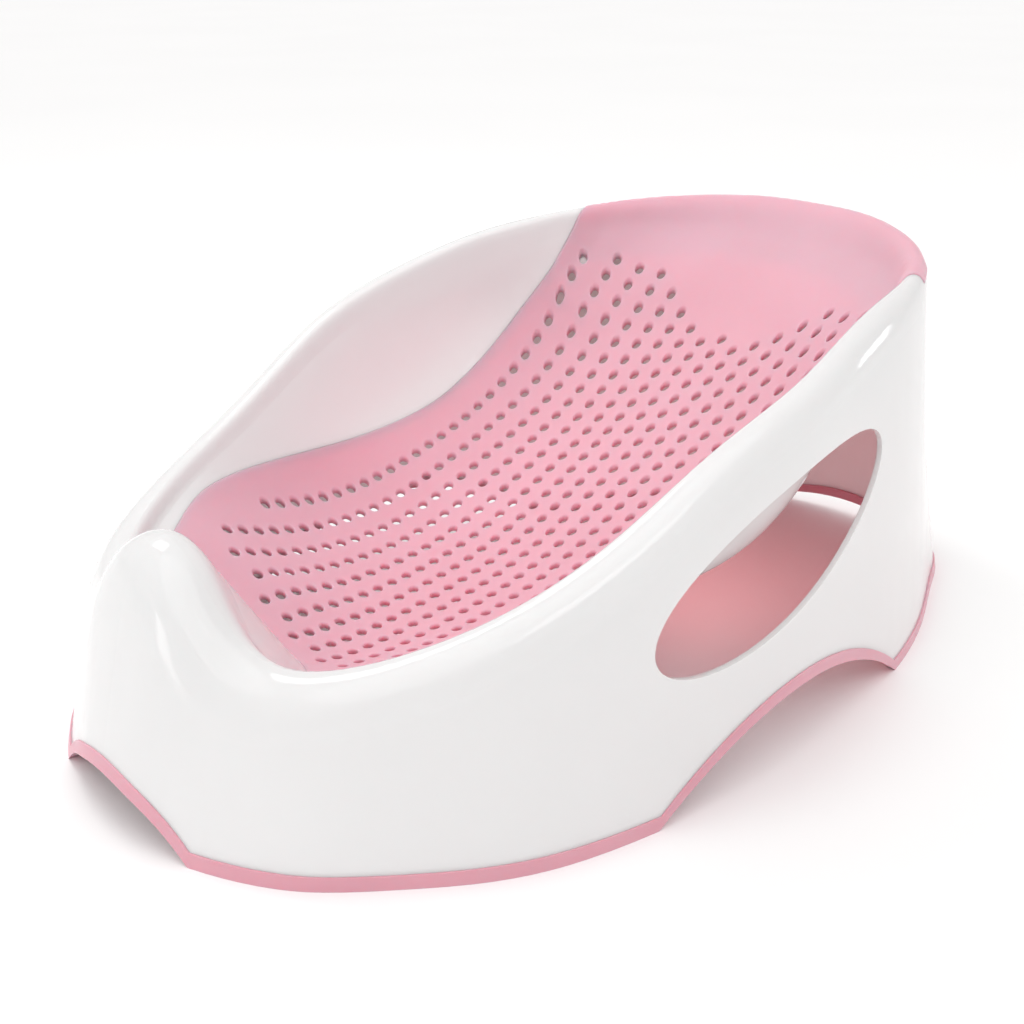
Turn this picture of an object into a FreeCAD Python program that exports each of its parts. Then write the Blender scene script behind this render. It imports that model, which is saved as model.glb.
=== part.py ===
"""Bath support for a baby: a white moulded shell, a soft perforated seat and a soft base trim.

Millimetres. +X runs from the foot end to the head end, +Y across, +Z up. The origin lies on the
floor, under the middle of the whole object, which is symmetric about the plane y = 0.
"""
import FreeCAD, Part
import math
import os

V = FreeCAD.Vector
UP = V(0, 0, 1)

# ---- driving dimensions ------------------------------------------------------------------------
SHELL_WALL = 3.0          # moulded wall thickness
SEAT_THICK = 3.2          # soft sheet thickness
SEAT_PROUD = 0.8          # the seat's face stands this far above the shell's skin
SEAT_GAP = 0.2            # clearance between the seat and its rebate in the shell
SEAT_LAP = 5.0            # the shell's inner panel runs this far under the seat's border
LAP_SLOPE = 28.0          # degrees, how steeply that hidden lap falls at the middle of the sides
LAP_FLAT_X = 15.0         # x where the lap is flattest; away from it the lap follows the panel
LAP_FLAT_REACH = 65.0     # and how far along x that flatness reaches
LAP_FLAT_LEAST = 0.15     # share of the flat direction that is left at the ends
TRIM_HEIGHT = 6.5         # visible height of the soft band along the bottom edge
TRIM_PROUD = 0.9          # the band stands this far outside the shell's wall
TRIM_INSIDE = 1.8         # and this far inside it
TRIM_FLOOR = 2.8          # soft material under the shell's bottom edge
SPARE = 5.0               # the ring is first made this much deeper, then cut flat at the floor
SIDE_ARCH = (13.0, 103.0, 38.0)     # x of its middle, half span, height
FOOT_ARCH = (0.0, 58.0, 25.0)       # y of its middle, half span, height
HEAD_ARCH = (0.0, 76.0, 13.0)
HAND_HOLE = (-5.0, 110.0)           # x and z of the middle of the hand hole in each side wall
HAND_HOLE_AXES = (88.5, 33.0)       # half length and half height of the oval
HAND_HOLE_TILT = 20.0               # degrees, rising towards the head
SHOULDER_FULLNESS = 1.15            # roundness of the rim's two shoulders
RING_STEPS = 30                     # sections on each half of the ring
OVERRUN = 4                         # stations or sections that lead a curve past y = 0
SECTION_NUMBERS = range(-OVERRUN, RING_STEPS + OVERRUN + 1)
END_WALL = 225.0                    # the end walls stand outside this x, for their cutters
SIDE_WALL = 148.0                   # the side walls stand outside this y, their panels inside
CENTRING = -1.15                    # the finished parts move this far in x, onto the origin
REACH = 400.0                       # longer than half the object, for cutters
ARCH_STEPS = 12                     # steps along the outline of an arch's cutter
ARCH_SKIRT = 30.0                   # the arch cutters reach this far under the floor
REBATE_ABOVE = 6.0                  # the rebate's cutter reaches this far above the seat's face
NORMAL_STEP = 0.004                 # step in the ring parameter for the skin's normals

# Stations from the head's middle round the +Y side to the foot's middle. Each gives the rim crest,
# the wall's foot on the floor, the seat's edge on the inner panel, and the (width, drop) of the
# outer and the inner shoulder of the rim.
STATIONS = [
    ((207, 0, 219), (278, 0), (176, 0, 192), (12, 16), (10, 12)),
    ((202, 36, 219), (274, 38), (172, 33, 192), (12, 16), (10, 12)),
    ((189, 68, 217), (258, 73), (162, 62, 190), (12, 16), (10, 12)),
    ((167, 97, 214), (221, 97), (145, 88, 187), (12, 16), (10, 12)),
    ((139, 118, 210), (175, 123), (123, 106, 182), (12, 16), (9, 12)),
    ((104, 131, 206), (123, 145), (101, 118, 172), (12, 16), (8, 14)),
    ((62, 142, 199), (72, 158), (62, 125, 134), (12, 16), (7, 14)),
    ((12, 152, 184), (12, 168), (12, 129, 103), (12, 16), (7, 14)),
    ((-43, 152, 164), (-45, 172), (-43, 129, 95), (13, 17), (7, 14)),
    ((-100, 143, 131), (-108, 168), (-100, 125, 96), (15, 19), (7, 12)),
    ((-150, 128, 108), (-166, 152), (-147, 116, 94), (17, 20), (7, 9)),
    ((-186, 108, 95), (-210, 124), (-177, 97, 84), (20, 22), (7, 8)),
    ((-210, 84, 87), (-242, 95), (-192, 76, 73), (22, 24), (8, 8)),
    ((-221, 62, 87), (-259, 66), (-190, 54, 62), (24, 26), (10, 9)),
    ((-228, 40, 103), (-269, 41), (-182, 32, 53), (25, 29), (15, 14)),
    ((-230, 20, 122), (-276, 20), (-172, 15, 47), (25, 31), (19, 19)),
    ((-230, 0, 128), (-278, 0), (-168, 0, 44), (25, 32), (20, 20)),
]

# Cross sections of the seat's hollow, from foot to head: the station and the place on the skin of
# the seat's border (see skin_point), then x and z of the hollow's middle. Over the rim the seat
# lies on the skin, so there the last number is the place of its middle.
HOLLOW = [
    (11.4, 4, -150, 38), (10.8, 4, -130, 37), (10.0, 4, -106, 39), (9.0, 4, -76, 44),
    (8.0, 4, -36, 53), (7.0, 4, 6, 70), (6.45, 4, 38, 87), (6.0, 4, 66, 104),
    (5.5, 4, 92, 122), (5.1, 3.95, 116, 140), (4.85, 3.75, 143, 161),
]
OVER_RIM = [(4.6, 3.3, 4.5), (4.35, 2.7, 3.4), (4.2, 2.2, 2.5), (4.15, 1.9, 1.9), (4.15, 1.65, 1.65),
            (4.15, 1.45, 1.45)]
ROW_STEPS = 10
HOLLOW_FLATNESS = 1.15    # how far the flat bottom of the hollow reaches sideways
HOLLOW_SIDE = 0.9         # how far the side of the hollow follows the lap down
FOOT_CORNER = 12.1        # station of the seat's corner beside the leg dip


# ---- smooth curves -----------------------------------------------------------------------------
def level(vector):
    """The horizontal direction of a vector."""
    return V(vector.x, vector.y, 0).normalize()


def unit(vector):
    return V(vector).normalize()


def mirrored(point):
    return V(point.x, -point.y, point.z)


def chord_params(points):
    """Curve parameters from 0 to 1 in step with the distance between points."""
    params = [0.0]
    for a, b in zip(points, points[1:]):
        params.append(params[-1] + (b - a).Length)
    return [p / params[-1] for p in params]


def interpolated(points, params):
    """A spline through points at the given parameters."""
    curve = Part.BSplineCurve()
    curve.interpolate(Points=points, Parameters=params)
    return curve


def guide_curve(points, params):
    """A smooth curve round the half ring, led past both ends by its own mirror image."""
    head = [mirrored(p) for p in points[OVERRUN:0:-1]]
    foot = [mirrored(p) for p in points[-2:-2 - OVERRUN:-1]]
    before = [-p for p in params[OVERRUN:0:-1]]
    after = [2 - p for p in params[-2:-2 - OVERRUN:-1]]
    return interpolated(head + points + foot, before + params + after)


def cubic(a, slope_a, b, slope_b):
    """A cubic curve from a to b with the given end slopes."""
    curve = Part.BezierCurve()
    curve.setPoles([a, a + slope_a / 3, b - slope_b / 3, b])
    return curve


def patch(pole_rows, row_curve, degree):
    """A face whose poles are rows in the direction of row_curve, with degree across the rows."""
    surface = Part.BSplineSurface()
    surface.buildFromPolesMultsKnots(pole_rows, [degree + 1] * 2, row_curve.getMultiplicities(),
                                     [0, 1], row_curve.getKnots(), False, False, degree,
                                     row_curve.Degree)
    return surface.toShape()


def closed_solid(faces):
    """One solid from faces that meet edge to edge."""
    skin = Part.Compound(faces)
    skin.sewShape()
    solid = Part.Solid(skin.Shells[0])
    if solid.Volume < 0:
        solid.reverse()
    return solid


# ---- the ring that the shell follows -----------------------------------------------------------
CREST = [V(*station[0]) for station in STATIONS]
RING_PARAMS = chord_params(CREST)


def ring_guides():
    """Curves for the wall's foot, outer shoulder, crest, inner shoulder and seat edge."""
    foot = [V(*station[1], 0) for station in STATIONS]
    edge = [V(*station[2]) for station in STATIONS]
    outer = []
    inner = []
    for station, top, low, end in zip(STATIONS, CREST, foot, edge):
        outer.append(top + level(low - top) * station[3][0] - UP * station[3][1])
        inner.append(top + level(end - top) * station[4][0] - UP * station[4][1])
    return [guide_curve(points, RING_PARAMS) for points in (foot, outer, CREST, inner, edge)]


GUIDES = ring_guides()


def ring_position(station):
    """The ring parameter of a station number, which may lie between two stations."""
    i = min(int(station), len(STATIONS) - 2)
    return RING_PARAMS[i] + (RING_PARAMS[i + 1] - RING_PARAMS[i]) * (station - i)


def lap_way(points):
    """The direction of the lap that the inner panel turns into at the seat's edge."""
    _, _, _, inner, edge = points[:5]
    slope = math.radians(LAP_SLOPE)
    flat = level(edge - inner) * math.cos(slope) - UP * math.sin(slope)
    nearness = math.exp(-((edge.x - LAP_FLAT_X) / LAP_FLAT_REACH) ** 2)
    share = LAP_FLAT_LEAST + (1 - LAP_FLAT_LEAST) * nearness
    return unit(unit(edge - inner) * (1 - share) + flat * share)


def ring_points(t):
    """The section's corner points at ring parameter t: 0 head, 1 foot, 1 to 2 back along -Y."""
    t = t % 2
    points = [guide.value(min(t, 2 - t)) for guide in GUIDES]
    points.append(points[4] + lap_way(points) * SEAT_LAP)
    return [mirrored(p) for p in points] if t > 1 else points


def section_ways(points):
    """Unit directions of the skin at each corner point, from the floor over the rim."""
    foot, outer, _, inner, edge, _ = points
    wall = unit(outer - foot)
    panel = unit(edge - inner)
    lap = lap_way(points)
    return [wall, wall, level(edge - foot), panel, unit(panel + lap), lap]


def section_normals(t):
    """Unit normals into the moulding at each corner point."""
    ahead = ring_points(t + NORMAL_STEP)
    behind = ring_points(t - NORMAL_STEP)
    ways = section_ways(ring_points(t))
    return [unit(way.cross(a - b)) for a, b, way in zip(ahead, behind, ways)]


def section_curves(t, depth):
    """Cubic pieces of the ring's section at a depth under the skin, from the floor to the end."""
    skin = ring_points(t)
    ways = section_ways(skin)
    points = [p + n * depth for p, n in zip(skin, section_normals(t))]
    points[0] = points[0] - ways[0] * ((points[0].z + SPARE) / ways[0].z)
    pieces = []
    for i in range(len(points) - 1):
        length = (points[i + 1] - points[i]).Length
        if i in (1, 2):
            length = length * SHOULDER_FULLNESS
        pieces.append(cubic(points[i], ways[i] * length, points[i + 1], ways[i + 1] * length))
    return pieces


def half_ring_faces(pole_rows, degree):
    """A face round the +Y half of the ring and its mirror image, from poles at each section."""
    params = [i / RING_STEPS for i in SECTION_NUMBERS]
    curves = []
    for line in zip(*pole_rows):
        curve = interpolated(list(line), params)
        curve.segment(0, 1)
        curves.append(curve)
    far = patch([curve.getPoles() for curve in curves], curves[0], degree)
    near = patch([[mirrored(p) for p in curve.getPoles()] for curve in curves], curves[0], degree)
    return [far, near]


def ring_solid(depth_out, depth_in):
    """A closed ring between two depths under the skin, from the floor to the panel's end."""
    skins = []
    linings = []
    for i in SECTION_NUMBERS:
        skins.append([piece.getPoles() for piece in section_curves(i / RING_STEPS, depth_out)])
        linings.append([piece.getPoles() for piece in section_curves(i / RING_STEPS, depth_in)])
    faces = []
    for piece in range(len(skins[0])):
        faces += half_ring_faces([section[piece] for section in skins], 3)
        faces += half_ring_faces([section[piece] for section in linings], 3)
    for piece, pole in ((0, 0), (-1, -1)):
        ends = [[a[piece][pole], b[piece][pole]] for a, b in zip(skins, linings)]
        faces += half_ring_faces(ends, 1)
    return closed_solid(faces)


# ---- cutters for the arches and the hand holes -------------------------------------------------
def arch_prism(arch, across_y, raised=0.0):
    """The space under an arch in a side wall (across_y) or an end wall, raised by some height."""
    middle, half_span, height = arch
    points = []
    for i in range(ARCH_STEPS + 1):
        s = -1 + 2 * i / ARCH_STEPS
        points.append((middle + s * (half_span + raised), (height + raised) * (1 - s * s)))
    curve = Part.BSplineCurve()
    if across_y:
        outline = [V(a, -REACH, z) for a, z in points]
        reach = V(0, 2 * REACH, 0)
    else:
        outline = [V(0, a, z) for a, z in points]
        reach = V(REACH, 0, 0)
    curve.interpolate(Points=outline)
    corners = [p - UP * ARCH_SKIRT for p in (outline[-1], outline[0])]
    sides = Part.makePolygon([outline[-1], *corners, outline[0]])
    face = Part.Face(Part.Wire([curve.toShape()] + sides.Edges))
    return face.extrude(reach)


def arches(raised=0.0):
    """The spaces under the side, head and foot arches."""
    side = arch_prism(SIDE_ARCH, True, raised)
    head = arch_prism(HEAD_ARCH, False, raised)
    head.translate(V(END_WALL, 0, 0))
    foot = arch_prism(FOOT_ARCH, False, raised)
    foot.translate(V(-REACH - END_WALL, 0, 0))
    return side, head, foot


def hand_hole_prism(side):
    """An oval bar through one outer wall, clear of the inner panel."""
    oval = Part.Ellipse(V(0, 0, 0), *HAND_HOLE_AXES)
    face = Part.Face(Part.Wire(oval.toShape()))
    face.rotate(V(0, 0, 0), V(1, 0, 0), 90)
    face.rotate(V(0, 0, 0), V(0, 1, 0), -HAND_HOLE_TILT)
    face.translate(V(HAND_HOLE[0], side * SIDE_WALL, HAND_HOLE[1]))
    return face.extrude(V(0, side * REACH, 0))


# ---- seat --------------------------------------------------------------------------------------
def skin_point(t, place):
    """A point on the shell's skin. Place runs 0 floor, 1 and 3 shoulders, 2 crest, 4 edge, 5 end."""
    pieces = section_curves(t, 0)
    piece = min(int(place), len(pieces) - 1)
    return pieces[piece].value(place - piece)


def hollow_row(station, place, x, z):
    """Points from the seat's middle to its border where it hangs free inside the panels."""
    t = ring_position(station)
    border = skin_point(t, place)
    down = lap_way(ring_points(t))
    end = border + down * SEAT_LAP
    span = end - V(x, 0, z)
    flat = V(0, span.y * HOLLOW_FLATNESS, 0)
    rise = down * (-span.Length * HOLLOW_SIDE)
    curve = cubic(V(x, 0, z), flat, end, rise)
    return [curve.value(i / ROW_STEPS) for i in range(ROW_STEPS + 1)] + [border]


def rim_row(station, place, middle_place):
    """Points from the middle to the border where the seat lies on the shell's skin."""
    row = []
    for i in range(ROW_STEPS + 2):
        s = i / (ROW_STEPS + 1)
        along = middle_place + (place - middle_place) * s * s
        row.append(skin_point(ring_position(station) * s, along))
    return row


def seat_grid():
    """Rows across the seat, from the foot end up the back and over the head rim."""
    foot = []
    for i in range(ROW_STEPS + 2):
        t = 1 + (ring_position(FOOT_CORNER) - 1) * i / (ROW_STEPS + 1)
        foot.append(skin_point(t, 4))
    half_rows = [foot]
    half_rows += [hollow_row(*row) for row in HOLLOW]
    half_rows += [rim_row(*row) for row in OVER_RIM]
    return [[mirrored(p) for p in row[:0:-1]] + row for row in half_rows]


def grid_normals(rows):
    """Unit normals of a grid of points, pointing up out of the seat."""
    normals = []
    for i, row in enumerate(rows):
        ahead = rows[min(i + 1, len(rows) - 1)]
        behind = rows[max(i - 1, 0)]
        line = []
        for j in range(len(row)):
            across = row[min(j + 1, len(row) - 1)] - row[max(j - 1, 0)]
            line.append(unit((ahead[j] - behind[j]).cross(across)))
        normals.append(line)
    return normals


def sheet_solid(rows, face, back):
    """A sheet between two heights above the surface that the rows describe."""
    normals = grid_normals(rows)
    across = chord_params(rows[len(rows) // 2])
    along = chord_params([row[len(row) // 2] for row in rows])
    sides = []
    for height in (face, back):
        lines = []
        for row, normal in zip(rows, normals):
            points = [p + n * height for p, n in zip(row, normal)]
            lines.append(interpolated(points, across))
        columns = list(zip(*[line.getPoles() for line in lines]))
        curves = [interpolated(list(column), along) for column in columns]
        surface = Part.BSplineSurface()
        surface.buildFromPolesMultsKnots(
            [curve.getPoles() for curve in curves], lines[0].getMultiplicities(),
            curves[0].getMultiplicities(), lines[0].getKnots(), curves[0].getKnots(),
            False, False, 3, 3)
        sides.append(surface)
    faces = [surface.toShape() for surface in sides]
    for i in (0, 1):
        faces.append(Part.makeRuledSurface(*[surface.uIso(i).toShape() for surface in sides]))
        faces.append(Part.makeRuledSurface(*[surface.vIso(i).toShape() for surface in sides]))
    return closed_solid(faces)


# ---- parts -------------------------------------------------------------------------------------
def make_seat(rows):
    return sheet_solid(rows, SEAT_PROUD, SEAT_PROUD - SEAT_THICK)


def below(height):
    """All the space under a height."""
    return Part.makeBox(2 * REACH, 2 * REACH, REACH, V(-REACH, -REACH, height - REACH))


def make_shell(rows):
    """The moulding: rim, walls and inner panel, with arches, hand holes and the seat's rebate."""
    ring = ring_solid(0, SHELL_WALL)
    rebate = sheet_solid(rows, SEAT_PROUD + REBATE_ABOVE, SEAT_PROUD - SEAT_THICK - SEAT_GAP)
    holes = [hand_hole_prism(1), hand_hole_prism(-1)]
    return ring.cut([below(TRIM_FLOOR), *holes, *arches(TRIM_FLOOR), rebate])


def make_trim(shell):
    """The soft band: wraps the shell's bottom edge inside, outside and below."""
    band = ring_solid(-TRIM_PROUD, SHELL_WALL + TRIM_INSIDE)
    zone = below(TRIM_HEIGHT).fuse(list(arches(TRIM_HEIGHT)))
    return band.common(zone).cut([below(0), *arches()]).cut(shell)


def main():
    os.makedirs("parts", exist_ok=True)
    rows = seat_grid()
    shell = make_shell(rows)
    parts = {"shell": shell, "seat": make_seat(rows), "base_trim": make_trim(shell)}
    for name, shape in parts.items():
        shape.translate(V(CENTRING, 0, 0))
        shape.exportStep("parts/" + name + ".step")
        print(name, len(shape.Solids), "solid, valid:", shape.isValid())


main()
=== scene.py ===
"""The look of a bath support for a baby: gloss white shell, perforated soft seat, soft base band.

Metres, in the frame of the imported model: +X from the foot end to the head end, +Z up.
"""
import math

import bmesh
import bpy
import numpy as np
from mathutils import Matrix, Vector
from mathutils.bvhtree import BVHTree
from mathutils.geometry import delaunay_2d_cdt
from mathutils.kdtree import KDTree


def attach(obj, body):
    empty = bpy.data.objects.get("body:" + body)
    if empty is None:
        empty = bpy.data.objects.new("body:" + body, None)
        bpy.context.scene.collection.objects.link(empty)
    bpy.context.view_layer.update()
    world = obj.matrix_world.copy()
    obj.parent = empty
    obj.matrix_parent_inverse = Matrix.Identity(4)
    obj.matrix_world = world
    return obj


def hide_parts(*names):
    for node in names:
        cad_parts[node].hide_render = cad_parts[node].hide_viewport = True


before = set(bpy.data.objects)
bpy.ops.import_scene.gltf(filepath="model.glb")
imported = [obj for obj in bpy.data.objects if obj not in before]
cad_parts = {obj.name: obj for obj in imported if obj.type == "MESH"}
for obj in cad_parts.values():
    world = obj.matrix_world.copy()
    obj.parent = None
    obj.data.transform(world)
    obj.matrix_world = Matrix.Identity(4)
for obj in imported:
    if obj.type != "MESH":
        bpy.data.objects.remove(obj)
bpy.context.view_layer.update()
MM = 0.001

# ---- camera and light --------------------------------------------------------------------------
CAMERA_AT = Vector((-0.5026, -0.5506, 0.3812))
CAMERA_AZIMUTH = math.radians(49.44)      # of the viewing direction, from +X towards +Y
CAMERA_FALL = math.radians(22.22)         # how far the viewing direction points down
LENS = 51.88                              # mm, on a sensor
SENSOR = 36                               # mm wide
NEAREST_SEEN = 10 * MM
OBJECT_MIDDLE = (0, 0, 0.1)               # the lights face this point unless they say otherwise
SKY_SPREAD = math.radians(70)             # angle that the soft sun takes up in the sky
WORLD_WHITE = (1.0, 0.99, 0.985)
WORLD_STRENGTH = 0.74
SHEET_GLOW = (1.0, 0.30, 0.33)            # colour of the light that comes through the seat
FLOOR_SIZE = 60                           # its far edge stays above the view

# ---- materials' shared values ------------------------------------------------------------------
BLEND_FROM = 0.35                         # below this factor a blend is all dark,
BLEND_TO = 0.65                           # and above this one all light
GRAIN_SPREAD = 0.05                       # the soft pieces' roughness varies by this much

# ---- the seat sheet ----------------------------------------------------------------------------
SHEET = 3.2 * MM                          # thickness
FACE_SEED = Vector((-0.03, 0))            # the upper face is found from its facet nearest to here
UPWARD = 0.5                              # least z of that facet's normal
CREASE = math.radians(45)                 # the upper face ends at edges sharper than this
OPEN_EDGE = math.pi                       # the angle taken for an edge that doesn't join two facets
SAME_VERTEX = 0.01 * MM                   # vertices nearer than this are merged
BORDER_STEP = 2.2 * MM                    # spacing of the vertices along the seat's border
HEM_RINGS = [(0.0, 0.75), (0.45, 0.22), (1.1, 0.0)]   # mm inwards from the border, mm lowered
COARSE = 3.2 * MM                         # spacing of the sheet's vertices away from the holes
ROW_SHARE = 0.87                          # spacing of their rows, as a share of that
CLEAR_SHARE = 0.55                        # and their least distance from other vertices
LONGEST = 4.6 * MM                        # longer edges are split
SPLIT_ROUNDS = 3
FACET_LIFT = 0.75                         # share of the way from a flat facet to a rounded one
ABOVE_ALL = 1.0                           # a height from which rays fall on the sheet
USUAL_HEIGHT = 0.12                       # of the sheet, where a ray misses it
STRAIGHT_NEAR = 4 * MM                    # near holes the sheet's thickness is taken upright,
SQUARE_FAR = 14 * MM                      # and this far from them square to its surface
# a division by the z of a unit normal takes at least this, where the sheet is steep
LEAST_RISE_FACET = 0.2
LEAST_RISE_SHEET = 0.25
LEAST_RISE_BORE = 0.3
SAME_POINT_MM = 1e-5                      # the triangulation merges points nearer than this

# ---- its drain holes ---------------------------------------------------------------------------
BORE = 2.65 * MM                          # radius
ROUND = 0.85 * MM                         # rounding at the mouth
MOUTH = BORE + ROUND
RING = 16                                 # vertices round a hole
BORE_RINGS = [(0.62, 0.10), (0.30, 0.32), (0.08, 0.65), (0.0, 1.05)]   # share of ROUND, mm deep
COLLAR = 0.9 * MM                         # another ring of vertices stands this far outside the mouth
PITCH = 9.45 * MM                         # between holes along a row
ROWS_EACH_SIDE = 8                        # rows on each side of the middle row
ROW_STEP = 12.2 * MM                      # between rows near the middle
ROW_SPREAD = 0.02 * MM                    # the rows move apart outwards with the cube of their number
FIRST_HOLE = -155 * MM                    # x of the foot end of the middle row
OUTER_ROW_START = -118 * MM               # x of the foot end of the outermost rows
EDGE_MARGIN = 7.5 * MM                    # no hole is nearer to the seat's border
FIELD_END = 131 * MM                      # x of the field's head end at the middle row
FIELD_RISE = 14 * MM                      # it rises by this much towards the head
FIELD_RISE_Y = 65 * MM                    # up to this distance from the middle row,
FIELD_FALL = 22 * MM                      # and falls by this much
FIELD_FALL_FROM = 77.76 * MM              # from this distance
FIELD_FALL_TO = 108 * MM                  # to this one
NO_HOLE = -1


# ---- materials ---------------------------------------------------------------------------------
def new_material(name):
    """A material, its nodes, its links and its shader."""
    material = bpy.data.materials.new(name)
    material.use_nodes = True
    nodes = material.node_tree.nodes
    return material, nodes, material.node_tree.links, nodes["Principled BSDF"]


def noise(nodes, links, scale, detail):
    """Object-space noise."""
    place = nodes.new("ShaderNodeTexCoord")
    texture = nodes.new("ShaderNodeTexNoise")
    texture.inputs["Scale"].default_value = scale
    texture.inputs["Detail"].default_value = detail
    links.new(place.outputs["Object"], texture.inputs["Vector"])
    return texture.outputs["Fac"]


def blend_colours(nodes, links, factor, dark, light):
    """A colour between dark and light, chosen by factor."""
    ramp = nodes.new("ShaderNodeValToRGB")
    ramp.color_ramp.elements[0].position = BLEND_FROM
    ramp.color_ramp.elements[0].color = (*dark, 1)
    ramp.color_ramp.elements[1].position = BLEND_TO
    ramp.color_ramp.elements[1].color = (*light, 1)
    links.new(factor, ramp.inputs["Fac"])
    return ramp.outputs["Color"]


def ranged(nodes, links, factor, low, high):
    """Factor mapped from 0..1 to low..high."""
    mapping = nodes.new("ShaderNodeMapRange")
    mapping.inputs["To Min"].default_value = low
    mapping.inputs["To Max"].default_value = high
    links.new(factor, mapping.inputs["Value"])
    return mapping.outputs["Result"]


def bump(nodes, links, height, distance, shader):
    """Small relief from a height."""
    relief = nodes.new("ShaderNodeBump")
    relief.inputs["Distance"].default_value = distance
    relief.inputs["Strength"].default_value = 1.0
    links.new(height, relief.inputs["Height"])
    links.new(relief.outputs["Normal"], shader.inputs["Normal"])


def gloss_white():
    """Glossy moulded polypropylene."""
    material, nodes, links, shader = new_material("gloss_white_plastic")
    tint = noise(nodes, links, scale=9.0, detail=2.0)
    colour = blend_colours(nodes, links, tint, (0.80, 0.785, 0.785), (0.815, 0.80, 0.80))
    links.new(colour, shader.inputs["Base Color"])
    haze = noise(nodes, links, scale=55.0, detail=4.0)
    links.new(ranged(nodes, links, haze, low=0.09, high=0.14), shader.inputs["Roughness"])
    shader.inputs["Specular IOR Level"].default_value = 0.5
    shader.inputs["Subsurface Weight"].default_value = 0.5
    shader.inputs["Subsurface Radius"].default_value = (0.010, 0.0085, 0.0085)
    shader.inputs["Subsurface Scale"].default_value = 1.0
    waves = noise(nodes, links, scale=28.0, detail=2.0)
    bump(nodes, links, waves, 0.06 * MM, shader)
    return material


def soft_pink(name, dark, light, roughness, depth):
    """Matt soft-touch elastomer with a fine moulded grain, and light that sinks in to a depth."""
    material, nodes, links, shader = new_material(name)
    tint = noise(nodes, links, scale=11.0, detail=3.0)
    links.new(blend_colours(nodes, links, tint, dark, light), shader.inputs["Base Color"])
    grain = noise(nodes, links, scale=1400.0, detail=2.0)
    links.new(ranged(nodes, links, grain, roughness - GRAIN_SPREAD, roughness + GRAIN_SPREAD),
              shader.inputs["Roughness"])
    shader.inputs["Specular IOR Level"].default_value = 0.35
    shader.inputs["Subsurface Weight"].default_value = 0.9
    shader.inputs["Subsurface Radius"].default_value = (1.0, 0.4, 0.48)
    shader.inputs["Subsurface Scale"].default_value = depth
    shader.inputs["Sheen Weight"].default_value = 0.08
    shader.inputs["Sheen Roughness"].default_value = 0.5
    bump(nodes, links, grain, 0.04 * MM, shader)
    return material


def floor_white():
    """Pale studio floor."""
    material, nodes, links, shader = new_material("studio_floor")
    tint = noise(nodes, links, scale=2.0, detail=1.0)
    colour = blend_colours(nodes, links, tint, (0.97, 0.97, 0.97), (0.98, 0.98, 0.98))
    links.new(colour, shader.inputs["Base Color"])
    shader.inputs["Roughness"].default_value = 0.6
    return material


def dress(piece, material):
    """Gives a piece one material."""
    piece.data.materials.clear()
    piece.data.materials.append(material)


# ---- reading the CAD seat ----------------------------------------------------------------------
def upper_face(node):
    """The upper face of the CAD seat as a bmesh, cut free at its sharp border."""
    sheet = bmesh.new()
    sheet.from_mesh(node.data)
    bmesh.ops.remove_doubles(sheet, verts=sheet.verts, dist=SAME_VERTEX)
    upward = [f for f in sheet.faces if f.normal.z > UPWARD]
    start = min(upward, key=lambda f: (f.calc_center_median().xy - FACE_SEED).length)
    kept = {start}
    growing = [start]
    while growing:
        for edge in growing.pop().edges:
            for other in edge.link_faces:
                if other not in kept and edge.calc_face_angle(OPEN_EDGE) < CREASE:
                    kept.add(other)
                    growing.append(other)
    bmesh.ops.delete(sheet, geom=[f for f in sheet.faces if f not in kept], context="FACES")
    return sheet


def border_loop(sheet):
    """The border of the sheet as an ordered list of points."""
    rim = [e for e in sheet.edges if e.is_boundary]
    links = {}
    for edge in rim:
        for vert in edge.verts:
            links.setdefault(vert, []).append(edge.other_vert(vert))
    start = rim[0].verts[0]
    loop = [start]
    before, here = None, start
    while True:
        ahead = [v for v in links[here] if v is not before][0]
        if ahead is start:
            break
        loop.append(ahead)
        before, here = here, ahead
    return [v.co.copy() for v in loop]


def resampled(loop, spacing):
    """Evenly spaced points round a closed loop."""
    points = np.array([list(p) for p in loop] + [list(loop[0])])
    gaps = np.linalg.norm(np.diff(points, axis=0), axis=1)
    along = np.concatenate([[0], np.cumsum(gaps)])
    count = int(along[-1] / spacing)
    at = np.linspace(0, along[-1], count, endpoint=False)
    return np.stack([np.interp(at, along, points[:, i]) for i in range(3)], axis=1)


def anticlockwise(loop):
    """The loop, turned round if it runs clockwise in plan."""
    x, y = loop[:, 0], loop[:, 1]
    twice_area = (x * np.roll(y, -1) - np.roll(x, -1) * y).sum()
    return loop if twice_area > 0 else loop[::-1]


def barycentric(spot, corners):
    """Weights of a triangle's corners at a spot on it."""
    a, b, c = corners
    areas = [(b - spot).cross(c - spot).length, (c - spot).cross(a - spot).length,
             (a - spot).cross(b - spot).length]
    total = sum(areas)
    return [area / total for area in areas]


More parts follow.
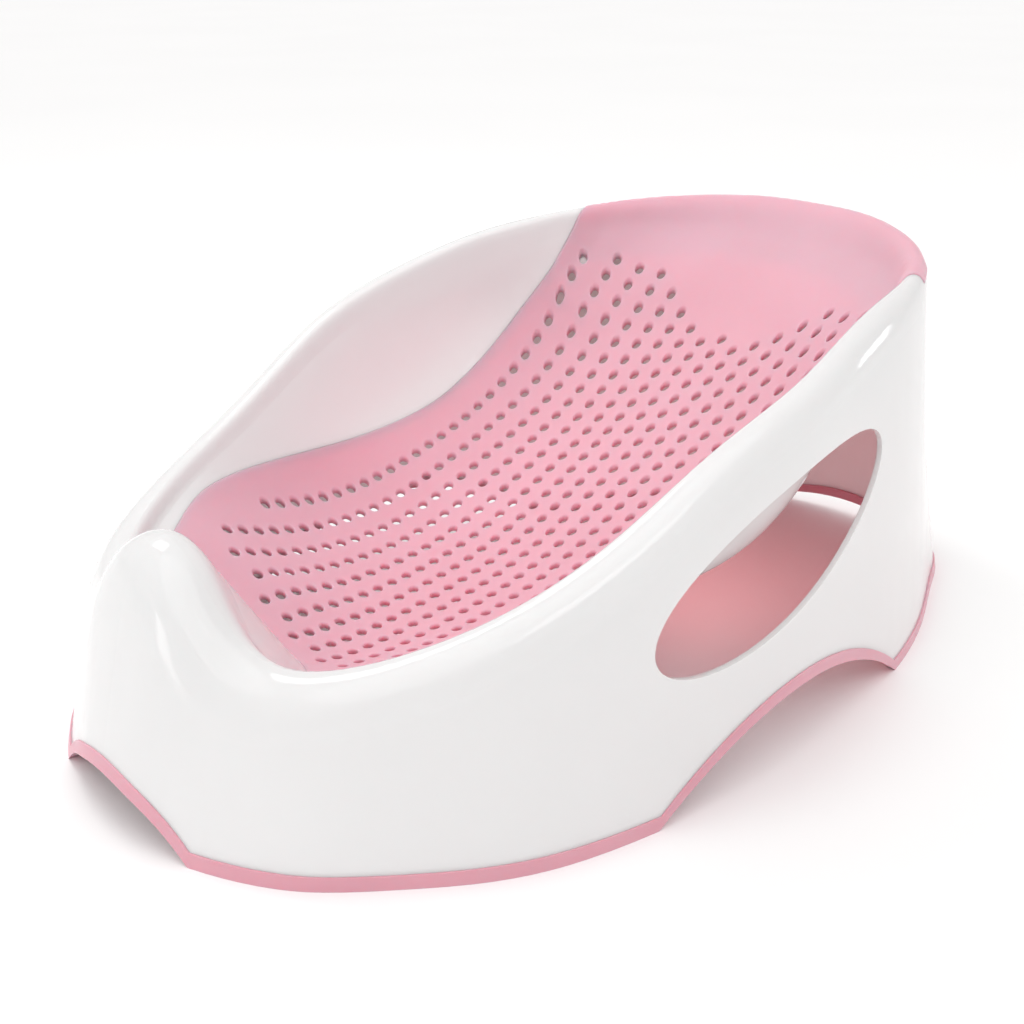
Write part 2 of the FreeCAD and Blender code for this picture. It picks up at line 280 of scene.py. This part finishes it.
class SeatFace:
    """The height and normal of the seat's upper face at any x and y."""

    def __init__(self, sheet):
        sheet.normal_update()
        self.corners = [[v.co.copy() for v in f.verts] for f in sheet.faces]
        self.normals = [[v.normal.copy() for v in f.verts] for f in sheet.faces]
        self.tree = BVHTree.FromBMesh(sheet)

    def at(self, x, y):
        """The point and unit normal above x and y, rounded between the CAD's flat facets."""
        spot, _, index, _ = self.tree.ray_cast(Vector((x, y, ABOVE_ALL)), Vector((0, 0, -1)))
        if spot is None:
            return self.nearest(Vector((x, y, USUAL_HEIGHT)))
        corners, normals = self.corners[index], self.normals[index]
        normal = Vector((0, 0, 0))
        lift = 0.0
        for weight, corner, corner_normal in zip(barycentric(spot, corners), corners, normals):
            normal += corner_normal * weight
            rise = (corner - spot).dot(corner_normal)
            lift += weight * rise / max(corner_normal.z, LEAST_RISE_FACET)
        return Vector((x, y, spot.z + FACET_LIFT * lift)), normal.normalized()

    def nearest(self, place):
        """The nearest point of the face to a place in space, and the unit normal there."""
        spot, _, index, _ = self.tree.find_nearest(place)
        normal = Vector((0, 0, 0))
        for weight, corner_normal in zip(barycentric(spot, self.corners[index]),
                                         self.normals[index]):
            normal += corner_normal * weight
        return spot, normal.normalized()


# ---- drain holes -------------------------------------------------------------------------------
def plan_tree(points):
    """A search tree of points in plan."""
    tree = KDTree(len(points))
    for i, point in enumerate(points):
        tree.insert(Vector((point[0], point[1], 0)), i)
    tree.balance()
    return tree


def plan_gap(tree, x, y):
    """The distance in plan to the nearest point of a tree."""
    return tree.find(Vector((x, y, 0)))[2]


def field_end(y):
    """x of the head end of the perforated field, which ends in a shallow U across the back."""
    across = abs(y)
    rise = FIELD_RISE * min(across / FIELD_RISE_Y, 1) ** 2
    past = max(across - FIELD_FALL_FROM, 0)
    return FIELD_END + rise - FIELD_FALL * past / (FIELD_FALL_TO - FIELD_FALL_FROM)


def hole_places(border):
    """The x and y of every drain hole: staggered rows, clear of the seat's border."""
    tree = plan_tree(border)
    places = []
    for row in range(-ROWS_EACH_SIDE, ROWS_EACH_SIDE + 1):
        y = ROW_STEP * row + ROW_SPREAD * row ** 3
        x = FIRST_HOLE + (row % 2) * PITCH / 2
        while x < field_end(y):
            in_row = abs(row) < ROWS_EACH_SIDE or x > OUTER_ROW_START
            if in_row and plan_gap(tree, x, y) > EDGE_MARGIN:
                places.append((x, y))
            x += PITCH
    return places


def ring_round(x, y, radius):
    """The points of a circle in plan."""
    turns = [2 * math.pi * (i + 0.5) / RING for i in range(RING)]
    return [(x + radius * math.cos(a), y + radius * math.sin(a)) for a in turns]


# ---- the perforated sheet ----------------------------------------------------------------------
def inside(polygon, x, y):
    """Which points lie inside a closed polygon, by counting crossings."""
    a = polygon
    b = np.roll(polygon, -1, axis=0)
    crosses = (a[:, 1][:, None] > y) != (b[:, 1][:, None] > y)
    run = (b[:, 0] - a[:, 0])[:, None] * (y - a[:, 1][:, None])
    rise = (b[:, 1] - a[:, 1])[:, None]
    at = a[:, 0][:, None] + run / np.where(rise == 0, 1, rise)
    return (crosses & (x < at)).sum(axis=0) % 2 == 1


def filler_points(outline, others, holes):
    """A staggered grid of points inside the outline, clear of other points and of the holes."""
    near_others = plan_tree(others)
    near_holes = plan_tree(holes)
    low = outline.min(axis=0)
    high = outline.max(axis=0)
    xs = []
    ys = []
    for j, y in enumerate(np.arange(low[1], high[1], COARSE * ROW_SHARE)):
        line = np.arange(low[0] + (j % 2) * COARSE / 2, high[0], COARSE)
        xs += list(line)
        ys += [y] * len(line)
    points = []
    for x, y, is_in in zip(xs, ys, inside(outline, np.array(xs), np.array(ys))):
        clear_of_holes = plan_gap(near_holes, x, y) > MOUTH + COLLAR
        if is_in and clear_of_holes and plan_gap(near_others, x, y) > COARSE * CLEAR_SHARE:
            points.append((x, y))
    return points


def triangulated(plan, edges):
    """Delaunay triangles of points in plan, in millimetres for accuracy, with edges kept."""
    flat = [Vector((x / MM, y / MM)) for x, y in plan]
    _, _, triangles, origins, _, _ = delaunay_2d_cdt(flat, edges, [], 0, SAME_POINT_MM, True)
    triangles = [t for t in triangles if all(origins[i] for i in t)]
    return [[origins[i][0] for i in t] for t in triangles]


class Layout:
    """The vertices of the seat's upper face, and the edges that its triangles keep.

    The border comes first, then the other rings of its hem, then the mouths of the holes.
    """

    def __init__(self, face, border, holes):
        self.face = face
        self.outline = border[:, :2]
        self.holes = holes
        self.plan = []
        self.spots = []
        self.drops = []
        self.edges = []
        self.add_hem(border)
        self.first_mouth = len(self.plan)
        for x, y in holes:
            self.close_ring(RING)
            self.add(ring_round(x, y, MOUTH))
        self.past_mouths = len(self.plan)
        for x, y in holes:
            self.add(ring_round(x, y, MOUTH + COLLAR))
        self.add(filler_points(self.outline, self.plan, holes))

    def close_ring(self, count):
        """Keeps the edges of a closed ring of vertices that is added next."""
        first = len(self.plan)
        self.edges += [(first + i, first + (i + 1) % count) for i in range(count)]

    def add(self, points):
        """Adds vertices on the face, by x and y."""
        for x, y in points:
            self.plan.append((x, y))
            self.spots.append(self.face.at(x, y))
            self.drops.append(0.0)

    def add_hem(self, border):
        """Adds rings of vertices inwards from the border, lowered to round the sheet's edge."""
        ways = np.roll(border, -1, axis=0) - np.roll(border, 1, axis=0)
        for inwards, drop in HEM_RINGS:
            self.close_ring(len(border))
            for spot, way in zip(border, ways):
                place = Vector(spot)
                _, normal = self.face.nearest(place)
                if inwards:
                    step = normal.cross(Vector(way)).normalized() * (inwards * MM)
                    place, normal = self.face.nearest(place + step)
                self.plan.append((place.x, place.y))
                self.spots.append((place, normal))
                self.drops.append(drop * MM)

    def hole_of(self, i):
        """The number of the hole whose mouth a vertex is on."""
        if self.first_mouth <= i < self.past_mouths:
            return (i - self.first_mouth) // RING
        return NO_HOLE

    def may_split(self, a, b):
        """Is the edge between two vertices clear of the border and of the holes' mouths?"""
        same_mouth = self.hole_of(a) == self.hole_of(b) != NO_HOLE
        on_border = max(a, b) < len(self.outline)
        return not same_mouth and not on_border

    def split_long_edges(self):
        """Adds the middles of long edges. Returns how many there are."""
        found = set()
        for t in triangulated(self.plan, self.edges):
            for a, b in zip(t, t[1:] + t[:1]):
                length = (self.spots[a][0] - self.spots[b][0]).length
                if length > LONGEST and self.may_split(a, b):
                    found.add((min(a, b), max(a, b)))
        ends = [(self.plan[a], self.plan[b]) for a, b in sorted(found)]
        self.add([((a[0] + b[0]) / 2, (a[1] + b[1]) / 2) for a, b in ends])
        return len(found)

    def triangles(self):
        """The triangles inside the border and outside the holes."""
        found = triangulated(self.plan, self.edges)
        centres = np.array([[sum(self.plan[i][k] for i in t) / 3 for k in (0, 1)] for t in found])
        is_in = inside(self.outline, centres[:, 0], centres[:, 1])
        kept = []
        for t, good in zip(found, is_in):
            mouths = {self.hole_of(i) for i in t}
            in_hole = len(mouths) == 1 and NO_HOLE not in mouths
            if good and not in_hole:
                kept.append(t)
        return kept

    def upper(self, i):
        """The place of a vertex, lowered if it is on the hem."""
        spot, normal = self.spots[i]
        return spot - normal * self.drops[i]

    def lower(self, i, near_holes):
        """The place under a vertex, on the back of the sheet."""
        spot, normal = self.spots[i]
        x, y = self.plan[i]
        gap = plan_gap(near_holes, x, y)
        share = min(max((gap - STRAIGHT_NEAR) / (SQUARE_FAR - STRAIGHT_NEAR), 0), 1)
        upright = Vector((0, 0, SHEET / max(normal.z, LEAST_RISE_SHEET)))
        place = spot - upright.lerp(normal * SHEET, share)
        hole = self.hole_of(i)
        if hole != NO_HOLE:
            middle_x, middle_y = self.holes[hole]
            place.x = middle_x + (x - middle_x) * BORE / MOUTH
            place.y = middle_y + (y - middle_y) * BORE / MOUTH
        return place


def bore_rings(face, x, y):
    """Rings of places down the rounded mouth of a hole."""
    rings = []
    for share, depth in BORE_RINGS:
        ring = []
        for spot, normal in [face.at(*p) for p in ring_round(x, y, BORE + ROUND * share)]:
            ring.append(spot - Vector((0, 0, depth * MM / max(normal.z, LEAST_RISE_BORE))))
        rings.append(ring)
    return rings


def band(upper, lower):
    """Faces between two closed rings of vertex numbers."""
    count = len(upper)
    return [[upper[i], upper[(i + 1) % count], lower[(i + 1) % count], lower[i]]
            for i in range(count)]


def sheet_mesh(layout, triangles):
    """The vertices and faces of the closed sheet with its bores."""
    used = sorted({i for t in triangles for i in t})
    upper = {i: number for number, i in enumerate(used)}
    lower = {i: number + len(used) for number, i in enumerate(used)}
    near_holes = plan_tree(layout.holes)
    verts = [layout.upper(i) for i in used] + [layout.lower(i, near_holes) for i in used]
    faces = []
    for t in triangles:
        faces.append([upper[i] for i in t])
        faces.append([lower[i] for i in reversed(t)])
    border = range(len(layout.outline))
    faces += band([lower[i] for i in border], [upper[i] for i in border])
    for hole, (x, y) in enumerate(layout.holes):
        first = layout.first_mouth + hole * RING
        mouth = range(first, first + RING)
        rings = [[upper[i] for i in mouth]]
        for places in bore_rings(layout.face, x, y):
            rings.append(list(range(len(verts), len(verts) + RING)))
            verts += places
        rings.append([lower[i] for i in mouth])
        for above, below in zip(rings, rings[1:]):
            faces += band(above, below)
    return verts, faces


def smooth_object(name, verts, faces):
    """A smooth-shaded object whose faces all point outwards."""
    mesh = bpy.data.meshes.new(name)
    mesh.from_pydata([tuple(v) for v in verts], [], faces)
    mesh.validate()
    outward = bmesh.new()
    outward.from_mesh(mesh)
    bmesh.ops.recalc_face_normals(outward, faces=outward.faces)
    outward.to_mesh(mesh)
    outward.free()
    mesh.polygons.foreach_set("use_smooth", [True] * len(mesh.polygons))
    piece = bpy.data.objects.new(name, mesh)
    bpy.context.scene.collection.objects.link(piece)
    return piece


def build_seat(node):
    """The perforated seat: a rounded border, an upper and a lower face, and bored drain holes."""
    sheet = upper_face(node)
    face = SeatFace(sheet)
    border = anticlockwise(resampled(border_loop(sheet), BORDER_STEP))
    sheet.free()
    layout = Layout(face, border, hole_places(border))
    for _ in range(SPLIT_ROUNDS):
        if not layout.split_long_edges():
            break
    verts, faces = sheet_mesh(layout, layout.triangles())
    return smooth_object("perforated_seat", verts, faces)


# ---- stage -------------------------------------------------------------------------------------
def make_floor():
    """A wide pale floor under the object."""
    bpy.ops.mesh.primitive_plane_add(size=FLOOR_SIZE, location=(0, 0, 0))
    floor = bpy.context.object
    floor.name = "floor"
    dress(floor, floor_white())


def make_camera():
    """The camera at the photograph's viewing angle."""
    data = bpy.data.cameras.new("camera")
    data.lens = LENS
    data.sensor_width = SENSOR
    data.clip_start = NEAREST_SEEN
    camera = bpy.data.objects.new("camera", data)
    level = math.cos(CAMERA_FALL)
    way = Vector((math.cos(CAMERA_AZIMUTH) * level, math.sin(CAMERA_AZIMUTH) * level,
                  -math.sin(CAMERA_FALL)))
    camera.location = CAMERA_AT
    camera.rotation_euler = way.to_track_quat("-Z", "Y").to_euler()
    bpy.context.scene.collection.objects.link(camera)
    bpy.context.scene.camera = camera


def area_light(name, place, size, power, aim_at=OBJECT_MIDDLE, colour=(1, 1, 1)):
    """A soft square light that faces a point."""
    data = bpy.data.lights.new(name, "AREA")
    data.shape = "SQUARE"
    data.size = size
    data.energy = power
    data.color = colour
    light = bpy.data.objects.new(name, data)
    light.location = place
    light.visible_camera = False
    aim = Vector(aim_at) - Vector(place)
    light.rotation_euler = aim.to_track_quat("-Z", "Y").to_euler()
    bpy.context.scene.collection.objects.link(light)


def soft_sun(towards, strength):
    """An even, soft light over object and floor from a direction."""
    data = bpy.data.lights.new("sky", "SUN")
    data.energy = strength
    data.angle = SKY_SPREAD
    light = bpy.data.objects.new("sky", data)
    light.rotation_euler = (-Vector(towards)).to_track_quat("-Z", "Y").to_euler()
    bpy.context.scene.collection.objects.link(light)


def make_lights():
    """Soft daylight from above, windows that mirror in the gloss, and the glow under the seat."""
    soft_sun(towards=(-0.35, -0.25, 1.0), strength=1.0)
    area_light("rim_light", place=(-0.2, 0.9, 1.3), size=0.5, power=4)
    # three windows: each mirrors in the gloss at the lobe, at the side's shoulder or at the head's
    area_light("foot_window", place=(-1.72, 0.30, 0.22), size=0.42, power=1.3)
    area_light("side_window", place=(-0.41, -1.16, 1.19), size=0.4, power=0.8)
    area_light("head_window", place=(1.47, -0.66, 0.35), size=0.25, power=0.9)
    # daylight that the thin pink sheet lets through to the floor under it
    area_light("under_back", place=(0.11, 0, 0.085), size=0.14, power=0.055, aim_at=(0.15, 0, 0),
               colour=SHEET_GLOW)
    area_light("under_seat", place=(-0.075, 0, 0.027), size=0.13, power=0.014,
               aim_at=(-0.075, 0, 0), colour=SHEET_GLOW)


def make_world():
    """An even white surround."""
    world = bpy.data.worlds.new("studio")
    world.use_nodes = True
    background = world.node_tree.nodes["Background"]
    background.inputs["Color"].default_value = (*WORLD_WHITE, 1)
    background.inputs["Strength"].default_value = WORLD_STRENGTH
    bpy.context.scene.world = world


# ---- the whole ---------------------------------------------------------------------------------
bpy.context.scene.view_settings.view_transform = "Standard"
make_camera()
make_world()
make_floor()
make_lights()

PINK = soft_pink("soft_pink", (0.765, 0.39, 0.46), (0.79, 0.41, 0.485), roughness=0.52,
                 depth=12 * MM)
DEEP_PINK = soft_pink("deep_pink", (0.70, 0.355, 0.42), (0.73, 0.38, 0.445), roughness=0.45,
                      depth=0.8 * MM)

dress(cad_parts["shell"], gloss_white())
dress(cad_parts["base_trim"], DEEP_PINK)
seat = build_seat(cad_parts["seat"])
dress(seat, PINK)
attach(seat, "root")
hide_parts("seat")

bpy.context.view_layer.update()
